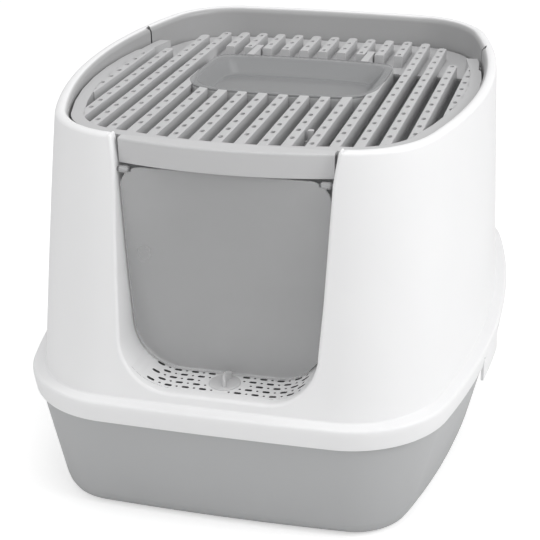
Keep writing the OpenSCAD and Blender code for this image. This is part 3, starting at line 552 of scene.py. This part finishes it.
cover = wear(make_mesh("cover_body", [cover_shell()], 40), COVER)
pivot_x = np.interp(PIVOT_Y - LID[5], quarter(LID, 60)[:, 1], quarter(LID, 60)[:, 0])
rear_shelf = outline(inset(RIM, RIM_BAND + 0.3))
rear_shelf = rear_shelf[rear_shelf[:, 1] > SHELF_FROM_Y]
notch = np.array([[PIVOT_Y, NOTCH_LOW_Z], [PIVOT_Y + NOTCH_HALF, NOTCH_TOP_Z],
                  [PIVOT_Y + NOTCH_HALF, ABOVE_RIM_Z], [PIVOT_Y - NOTCH_HALF, ABOVE_RIM_Z],
                  [PIVOT_Y - NOTCH_HALF, NOTCH_TOP_Z]])
cuts = [prism(mirrored(door_curve(EDGE_R, 360)), -300, -150, "y"),
        prism(rear_shelf, SHELF_LOW_Z, SHELF_HIGH_Z)]
for s in (-1, 1):
    cuts.append(latch_window(s))
    x = s * (pivot_x + 3.2)
    cuts.append(box(x - 3, x + 3, PIVOT_Y - SLOT_W / 2, PIVOT_Y + SLOT_W / 2, SLOT_LOW_Z, ABOVE_RIM_Z))
    cuts.append(prism(notch, x - 3, x + 3, "x"))
carve(cover, cuts, 40)
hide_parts("cover_shell")
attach(cover, "cover")
print("cover faces", len(cover.data.polygons))

# %% [markdown]
# ## Doorway lining
# The doorway has a lining that runs back to the flap. Its front edge is softly rounded into the
# wall. The lining is a section of outward distance and depth carried along the doorway curve,
# and its front follows the leaning wall.


# %% Doorway lining
LINING_TOP = np.array([[91.4, 322.6], [92.0, 323.6], [92.8, 324.3]])
THROAT_Y, THROAT_HIGH_Y, THROAT_HIGH_Z = -194.0, -191.0, 299.0
SILL_T, SILL_TOP_Z, LIP_Z = 4.6, 140.5, 322.0
SEAT_GAP, SEAT_TOP_Z, SEAT_FRONT_Y = 2.2, 138.8, -232.3


def door_lining():
    """At each point of the doorway curve: a quarter round from the wall's face into the opening,
    a straight run back, a rounded rear edge, and the way back along the outer side."""
    h = np.concatenate([door_curve(), LINING_TOP])
    path = np.concatenate([(h * [-1, 1])[::-1][:-1], h])
    tan = np.gradient(path, axis=0)
    nrm = np.c_[tan[:, 1], -tan[:, 0]] / np.linalg.norm(tan, axis=1)[:, None]
    nrm[np.abs(path[:, 1] - DOOR_SILL) < TINY] = [0, -1]
    rear = np.where(path[:, 1] > THROAT_HIGH_Z, THROAT_HIGH_Y, THROAT_Y)
    thick = np.where(path[:, 1] < SILL_TOP_Z, SILL_T, WALL_T)
    rows = []
    for a in np.linspace(0, math.pi / 2, 7):
        q = path + nrm * (EDGE_R * (1 - math.sin(a)) + 0.02)
        y = wall_front(q[:, 0], q[:, 1]) + EDGE_R * (1 - math.cos(a)) - 0.03 * (a == 0)
        lip = np.clip(q[:, 1] - LIP_Z, 0, EDGE_R)
        y = y + EDGE_R - np.sqrt(EDGE_R ** 2 - lip ** 2)
        rows.append(np.c_[q[:, 0], y, q[:, 1]])
    for d, back in ((0, 1.2), (0.25, 0.35), (0.9, 0.0)):
        q = path + nrm * d
        rows.append(np.c_[q[:, 0], rear - back, q[:, 1]])
    q = path + nrm * thick[:, None]
    rows.append(np.c_[q[:, 0], rear, q[:, 1]])
    front = wall_front(q[:, 0], q[:, 1])
    rows.append(np.c_[q[:, 0], front + 2.0, q[:, 1]])
    q = path + nrm * (EDGE_R + 0.02)
    rows.append(np.c_[q[:, 0], wall_front(q[:, 0], q[:, 1]) + 1.6, q[:, 1]])
    return carried(rows)


lining = wear(make_mesh("doorway_lining", [door_lining()], 42), LINING)
seat = door_curve(SEAT_GAP)
seat = mirrored(seat[seat[:, 1] < SEAT_TOP_Z])
carve(lining, [prism(seat, SEAT_FRONT_Y, -180, "y"), box(-56, 56, -228, -198, 108, 124)], 42)
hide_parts("cover_shell")
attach(lining, "cover")
print("lining faces", len(lining.data.polygons))

# %% [markdown]
# ## Ribs
# The lid's top is a field of tall ribs with dark slots between them, and each rib has a row of
# oblong holes, which go right through in the middle ribs and are blind in the others. A rib is
# its plan shape stacked through a few heights, and the plan draws in by a quarter circle at the
# top, so its long edges catch the light.

# %% Rib sizes
RIB_PITCH, RIB_W, EDGE = 18.55, 8.6, 0.8
HOLE_W, HOLE_L, HOLE_PITCH, HOLE_FROM, HOLE_D = 3.8, 6.2, 20.6, 21.1, 2.5
THROUGH_RIBS, THROUGH_FROM, THROUGH_TO_Y, EDGE_FROM = 3, 34, -65, 8.4
REAR_IN, REAR_HALF, REAR_ROW_Y = 25, 147, 96.0
RIB_Z0 = LID_Z - LID_H
FASCIA_W, FASCIA_END, FASCIA_BOW, FASCIA_H, FASCIA_BORDER = 87.7, -196.5, 10.7, 20.4, 18.2
FASCIA_R = (FASCIA_W ** 2 + FASCIA_BOW ** 2) / (2 * FASCIA_BOW)
FASCIA_CY = FASCIA_END - FASCIA_BOW + FASCIA_R
HATCH_F = np.array([87, 62, 34, 600, 1500, 11.0])
HATCH_B = np.array([87, 62, 16, 600, 1500, 11.0])


def front_of(ring, x):
    """Depth of a ring's front side at a width, read off the ring's own points."""
    low = ring[ring[:, 1] < ring[:, 1].mean()]
    low = low[np.argsort(low[:, 0])]
    return np.interp(x, low[:, 0], low[:, 1])


def rear_of(ring, x):
    """Depth of a ring's rear side at a width."""
    high = ring[ring[:, 1] > ring[:, 1].mean()]
    high = high[np.argsort(high[:, 0])]
    return np.interp(x, high[:, 0], high[:, 1])


BORDER = outline(inset(LID, LID_BORDER))
HATCH_GAP = outline(inset(HATCH_F, -0.6), back=inset(HATCH_B, -0.6))


def slot_front(x):
    """Where the slots begin: behind the fascia's bowed border, or behind the lid's own border."""
    x = np.asarray(x, float)
    arc = FASCIA_CY - np.sqrt((FASCIA_R - FASCIA_BORDER) ** 2 - x ** 2)
    own = front_of(BORDER, x)
    return np.where(np.abs(x) < FASCIA_W, np.minimum(arc, own), own)


def rib_x(i):
    """Width position of rib i, counted from the middle."""
    return (i - 0.5) * RIB_PITCH


def rib_rear(x):
    """Rounded rear ends follow the lid's rear edge."""
    ring = outline(inset(LID, REAR_IN))
    return float(rear_of(ring, np.clip(x, -REAR_HALF, REAR_HALF)))


def rib_block(x, front, rear, bullet):
    """Plan ring stacked through heights: straight sides, a half round or cut rear, a cut front.
    Near the top the plan draws in as a quarter circle does."""
    half = RIB_W / 2
    soft = 2.6 if bullet else EDGE
    levels = [(0, 0, RIB_Z0), (0, 0, LID_Z - soft - 0.01)]
    for q in np.linspace(0, math.pi / 2, 5):
        levels.append((EDGE * (1 - math.cos(q)), soft * (1 - math.cos(q)), LID_Z - EDGE + EDGE * math.sin(q)))
    b = np.linspace(0, math.pi, 11)
    rings = []
    for i, back, z in levels:
        w = half - i
        if bullet:
            ry = rear - half - back * 0.6
            tail = np.c_[x + w * np.cos(b), ry + w * np.sin(b)]
        else:
            ends = np.array([w, -w])
            tail = np.c_[x + ends, rear_cut(x + ends)]
        nose = np.array([[x - w, front_cut(x - w, front)], [x + w, front_cut(x + w, front)]])
        rings.append(at_height(np.concatenate([tail, nose]), z))
    return stacked(rings)


def edge_rib(i):
    """Outermost rib: its outer side follows the lid's border, so the two tops run together."""
    x = abs(rib_x(i))
    side = 1 if rib_x(i) > 0 else -1
    y = np.linspace(-100, 100, 201)
    ring = quarter(inset(LID, LID_BORDER), 40)
    edge = np.interp(np.abs(y - LID[5]), ring[:, 1], ring[:, 0])
    wide = edge > x - RIB_W / 2 + 1.2
    y, edge = y[wide], np.minimum(edge[wide], x + RIB_W / 2)
    rings = []
    for d, z in ((0, RIB_Z0), (0, LID_Z - EDGE), (EDGE * 0.3, LID_Z - EDGE * 0.3), (EDGE, LID_Z)):
        inner = np.full_like(y, x - RIB_W / 2 + d)
        plan = np.concatenate([np.c_[side * inner, y], np.c_[side * edge, y][::-1]])
        rings.append(at_height(plan if side < 0 else plan[::-1], z))
    v, f = stacked(rings)
    return v, f, (float(y[0]), float(y[-1]))


def front_cut(x, front):
    """Front end of a rib: the border's edge, or a fixed depth for the short rear ribs."""
    return float(slot_front(x)) if front is None else front


def rear_cut(x):
    """Rear end of a front rib: just clear of the hatch."""
    return front_of(HATCH_GAP, x)


def rib_holes(i, y0, y1):
    """Cutters for the row of oblong holes in rib i, staggered by half a pitch on every other rib.
    A hole's plan is two half circles set apart along the rib."""
    x, out = rib_x(i), []
    a = np.linspace(0, 2 * math.pi, 20, endpoint=False) + math.pi / 20
    apart = np.sign(np.sin(a)) * (HOLE_L - HOLE_W) / 2
    base = np.c_[HOLE_W / 2 * np.cos(a), HOLE_W / 2 * np.sin(a) + apart]
    first = FASCIA_END + HOLE_FROM + (abs(i) % 2) * HOLE_PITCH / 2
    for y in first + HOLE_PITCH * np.arange(17):
        through = abs(i - 0.5) < THROUGH_RIBS and FASCIA_END + THROUGH_FROM < y < THROUGH_TO_Y
        if y0 + 5 < y < y1 - 5:
            out.append(prism(base + [x, y], RIB_Z0 - 1 if through else LID_Z - HOLE_D, LID_Z + 1))
    return out


# %% Ribs
def ribs(name, node, numbers, front, rear, bullet, extra=()):
    """One object for a group of ribs, with its holes cut."""
    parts, holes = list(extra), []
    for i in numbers:
        x = rib_x(i)
        y1 = rear if rear is not None else rib_rear(x)
        if abs(i - 0.5) > EDGE_FROM:
            v, f, (y0, y1) = edge_rib(i)
            parts.append((v, f))
            holes += rib_holes(i, y0 + 4, y1 - 4)
            continue
        y0 = front_cut(x, front)
        parts.append(rib_block(x, front, y1, bullet))
        holes += rib_holes(i, y0, y1 if bullet else float(rear_cut(x)))
    obj = wear(make_mesh(name, parts, 30), RIB_GREY)
    carve(obj, holes, 30)
    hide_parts(node)
    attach(obj, "lid")
    print(name, "faces", len(obj.data.polygons))
    return obj


def deck_plate():
    """Lower rear border of the lid that the rear ribs stand on, behind the hatch."""
    ring = outline(LID)
    ring = ring[ring[:, 1] > 107.0]
    ring = ring[np.argsort(np.arctan2(ring[:, 1] - 60, ring[:, 0]))]
    right = np.array([[89, 73.8], [89, 72.0], [152, 72.0], [150, 106.6]])
    front = np.concatenate([(right * [-1, 1])[::-1], right])
    return prism(np.concatenate([ring, front]), RIB_Z0, RIB_Z0 + WALL_T)


ribs("lid_ribs_left_side", "lid_ribs_left", (-8, -7, -6, -5), None, None, True)
ribs("lid_ribs_right_side", "lid_ribs_right", (6, 7, 8, 9), None, None, True)
ribs("lid_ribs_front_row", "lid_ribs_front", range(-4, 6), None, 0.0, False)
ribs("lid_ribs_rear_row", "lid_ribs_rear", range(-4, 6), REAR_ROW_Y, None, True, [deck_plate()])

# %% [markdown]
# ## Fascia
# The lid's front is a bowed apron with a softly rounded top edge. It is a section carried along
# the arc of its front, and its top plate runs back to the lid's own front edge.


# %% Fascia
def fascia():
    """Section carried along the front arc: up the face, round the top edge, back over the plate."""
    phi = np.linspace(-1, 1, 61) * math.asin(FASCIA_W / FASCIA_R)
    x, y = FASCIA_R * np.sin(phi), FASCIA_CY - FASCIA_R * np.cos(phi)
    back = front_of(outline(LID), x)
    r, z1, z0 = 2.0, LID_Z, LID_Z - FASCIA_H
    rows = [np.c_[x, y + 0.5, np.full_like(x, z0)], np.c_[x, y, np.full_like(x, z0 + 0.5)]]
    for a in np.linspace(0, math.pi / 2, 7):
        rows.append(np.c_[x, y + r * (1 - math.cos(a)), np.full_like(x, z1 - r + r * math.sin(a))])
    rows.append(np.c_[x, back, np.full_like(x, z1)])
    rows.append(np.c_[x, back, np.full_like(x, z1 - WALL_T)])
    rows.append(np.c_[x, y + WALL_T, np.full_like(x, z1 - WALL_T)])
    rows.append(np.c_[x, y + WALL_T, np.full_like(x, z0 + 0.5)])
    rows.append(np.c_[x, y + WALL_T - 0.5, np.full_like(x, z0)])
    return carried(rows)


apron = wear(make_mesh("lid_front_fascia", [fascia()], 40), FASCIA_GREY)
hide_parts("lid_fascia")
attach(apron, "lid")

# %% [markdown]
# ## Hatch
# The hatch is a shallow dish in smoke plastic with a flat rim. Both of its faces are stacks of
# outlines: the under face from the middle out to the rim, and the upper face back in again.


# %% Hatch dish
DRAW_FRONT = np.array([1, 1.25, 0.5, 0, 0, 0.4])
DRAW_REAR = np.array([1, 1.25, 0.1, 0, 0, 0.4])
UNDER = [(18.5, -13.5), (16.5, -13.3), (15.2, -12.5), (14.4, -11.4), (6.6, -3.4), (5.2, -2.0)]
BRIM = [(0.5, -2.0), (0.0, -1.6), (0.0, -0.5), (0.15, -0.15), (0.5, 0)]
UPPER = [(5.6, 0), (6.3, -0.2), (7.0, -0.8), (15.6, -10.2), (16.4, -11.0), (17.6, -11.5), (19.5, -11.5)]
PIN_Y, PIN_Z, PIN_BOSS_R, ARM_X, ARM_HALF = 108.0, 314.0, 3.8, 55.65, 3.4


def dish_ring(i):
    """Dish outline drawn in by i, more at the rear than at the front."""
    return outline(HATCH_F - i * DRAW_FRONT, back=HATCH_B - i * DRAW_REAR)


def hatch_shell():
    """Under face out, edge, and upper face back in, with each corner softened by extra rings."""
    rings = [at_height(dish_ring(i), LID_Z + h) for i, h in UNDER]
    rings += [at_height(outline(inset(HATCH_F, i), back=inset(HATCH_B, i)), LID_Z + h) for i, h in BRIM]
    rings += [at_height(dish_ring(i), LID_Z + h) for i, h in UPPER]
    return stacked(rings)


def hinge_arm(s):
    """Arm that reaches from the hatch's rim back to its pin, seen from the side as one outline."""
    a = np.linspace(-math.pi * 0.5, math.pi * 0.5, 11)
    tip = np.c_[PIN_Y + PIN_BOSS_R * np.cos(a), PIN_Z + PIN_BOSS_R * np.sin(a)]
    under = [[71, LID_Z], [71, LID_Z - 3], [80, LID_Z - 5], [100, LID_Z - 8.6]]
    side = np.concatenate([under, tip, [[PIN_Y, LID_Z]]])
    return prism(side, s * ARM_X - ARM_HALF, s * ARM_X + ARM_HALF, "x")


hatch = wear(make_mesh("hatch_window", [hatch_shell()], 50), DISH)
arms = wear(make_mesh("hatch_arms", [hinge_arm(-1), hinge_arm(1)], 35), LID_GREY)
for piece, slot_name in ((hatch, "hatch_smoke"), (arms, "lid_grey")):
    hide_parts("hatch_dish")
    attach(piece, "hatch")
print("hatch faces", len(hatch.data.polygons))

# %% [markdown]
# ## Knob
# A low round disc with a curved finger wing. The disc is a profile turned about its axis, and the
# wing is a rounded section carried along an arc, higher in the middle than at its ends.


# %% Knob
WING_X, WING_R, WING_SPAN, WING_HALF, WING_CREST_R = 14.0, 14.1, 0.70, 1.2, 17.0


def knob_disc():
    """Profile of radius and height turned about the knob's axis."""
    prof = np.array([[0.01, 114.0], [3.5, 114.0], [3.5, 121.2], [12.6, 121.2], [13.0, 121.5],
                     [13.0, 122.0], [12.7, 122.3], [12.2, 122.4], [0.01, 122.4]])
    a = np.linspace(0, 2 * math.pi, 64, endpoint=False)
    v = np.stack([prof[:, 0, None] * np.cos(a), KNOB_Y + prof[:, 0, None] * np.sin(a),
                  np.repeat(prof[:, 1, None], 64, 1)], -1)
    return v, grid_faces(len(prof), 64, False, True)


def knob_wing():
    """Rounded section carried along an arc whose height falls off as a circle towards both ends.
    The first and last lines are its foot, a little wider than the wing."""
    s = np.linspace(-1, 1, 33)
    ang = math.pi + s * WING_SPAN
    high = 122.2 - 8.6 + np.sqrt(WING_CREST_R ** 2 - (WING_R * np.sin(ang)) ** 2)
    taper = np.sqrt(np.clip(1 - (np.abs(s) - 0.8) ** 2 / 0.04 * (np.abs(s) > 0.8), 0.02, 1))
    foot = np.full_like(s, 122.0)
    lines = [(1.25, foot)]
    lines += [(math.cos(k), high + WING_HALF * (math.sin(k) - 1)) for k in np.linspace(0, math.pi, 9)]
    lines.append((-1.25, foot))
    rows = []
    for share, z in lines:
        r = WING_R + WING_HALF * taper * share
        rows.append(np.c_[WING_X + r * np.cos(ang), KNOB_Y + r * np.sin(ang), z])
    return carried(rows)


knob = wear(make_mesh("knob_turn", [knob_disc(), knob_wing()], 40), KNOB)
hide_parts("sill_knob")
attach(knob, "knob")
print("knob faces", len(knob.data.polygons))

# %% [markdown]
# ## Floor, light and camera
# A white product picture: a pale floor, a soft light from the right, a weaker one from above and
# one from the front left, with a pale sky all round. The camera stands at the photograph's angle.

# %% Stage
bpy.ops.mesh.primitive_plane_add(size=12, location=(0, 0, -0.0005))
floor = bpy.context.object
floor.name = "studio_floor"
fmat = bpy.data.materials.new("studio floor")
fmat.use_nodes = True
nt = fmat.node_tree
nt.nodes.clear()
out = nt.nodes.new("ShaderNodeOutputMaterial")
add = nt.nodes.new("ShaderNodeAddShader")
dif = nt.nodes.new("ShaderNodeBsdfDiffuse")
dif.inputs["Color"].default_value = (0.8, 0.8, 0.8, 1)
emi = nt.nodes.new("ShaderNodeEmission")
emi.inputs["Color"].default_value = (1, 1, 1, 1)
path = nt.nodes.new("ShaderNodeLightPath")
gain = nt.nodes.new("ShaderNodeMath")
gain.operation = "MULTIPLY"
gain.inputs[1].default_value = 0.45
nt.links.new(path.outputs["Is Camera Ray"], gain.inputs[0])
nt.links.new(gain.outputs[0], emi.inputs["Strength"])
nt.links.new(dif.outputs[0], add.inputs[0])
nt.links.new(emi.outputs[0], add.inputs[1])
nt.links.new(add.outputs[0], out.inputs["Surface"])
floor.data.materials.append(fmat)

world = bpy.data.worlds.new("studio")
scene.world = world
world.use_nodes = True
wt = world.node_tree
wt.nodes.clear()
wout = wt.nodes.new("ShaderNodeOutputWorld")
soft = wt.nodes.new("ShaderNodeBackground")
soft.inputs["Color"].default_value = (1, 1, 1, 1)
soft.inputs["Strength"].default_value = 0.62
seen = wt.nodes.new("ShaderNodeBackground")
seen.inputs["Color"].default_value = (1, 1, 1, 1)
seen.inputs["Strength"].default_value = 1.0
mix = wt.nodes.new("ShaderNodeMixShader")
wpath = wt.nodes.new("ShaderNodeLightPath")
wt.links.new(wpath.outputs["Is Camera Ray"], mix.inputs["Fac"])
wt.links.new(soft.outputs[0], mix.inputs[1])
wt.links.new(seen.outputs[0], mix.inputs[2])
wt.links.new(mix.outputs[0], wout.inputs["Surface"])


def area_light(name, at, aim, size, watts):
    """A square soft light at a place, turned to a target."""
    data = bpy.data.lights.new(name, "AREA")
    data.size = size
    data.energy = watts
    obj = bpy.data.objects.new(name, data)
    obj.location = at
    obj.rotation_euler = (Vector(aim) - Vector(at)).to_track_quat("-Z", "Y").to_euler()
    scene.collection.objects.link(obj)
    return obj


area_light("key", (1.6, -0.3, 1.2), (0, 0, 0.2), 1.0, 14.5)
area_light("top", (0.1, -0.1, 1.9), (0, 0, 0.2), 1.2, 9)
area_light("front", (-0.9, -1.8, 1.0), (0, 0, 0.2), 1.2, 6)

CAMERA_AT, CAMERA_AIM = Vector((0.3000, -1.1425, 0.6545)), Vector((0.02511, 0.02457, 0.12256))
cam_data = bpy.data.cameras.new("camera")
cam_data.sensor_width = 36
cam_data.lens = 89.65
cam_data.shift_x = -0.0948
cam = bpy.data.objects.new("camera", cam_data)
scene.collection.objects.link(cam)
cam.location = CAMERA_AT
cam.rotation_euler = (CAMERA_AIM - CAMERA_AT).to_track_quat("-Z", "Y").to_euler()
scene.camera = cam
scene.view_settings.view_transform = "Standard"
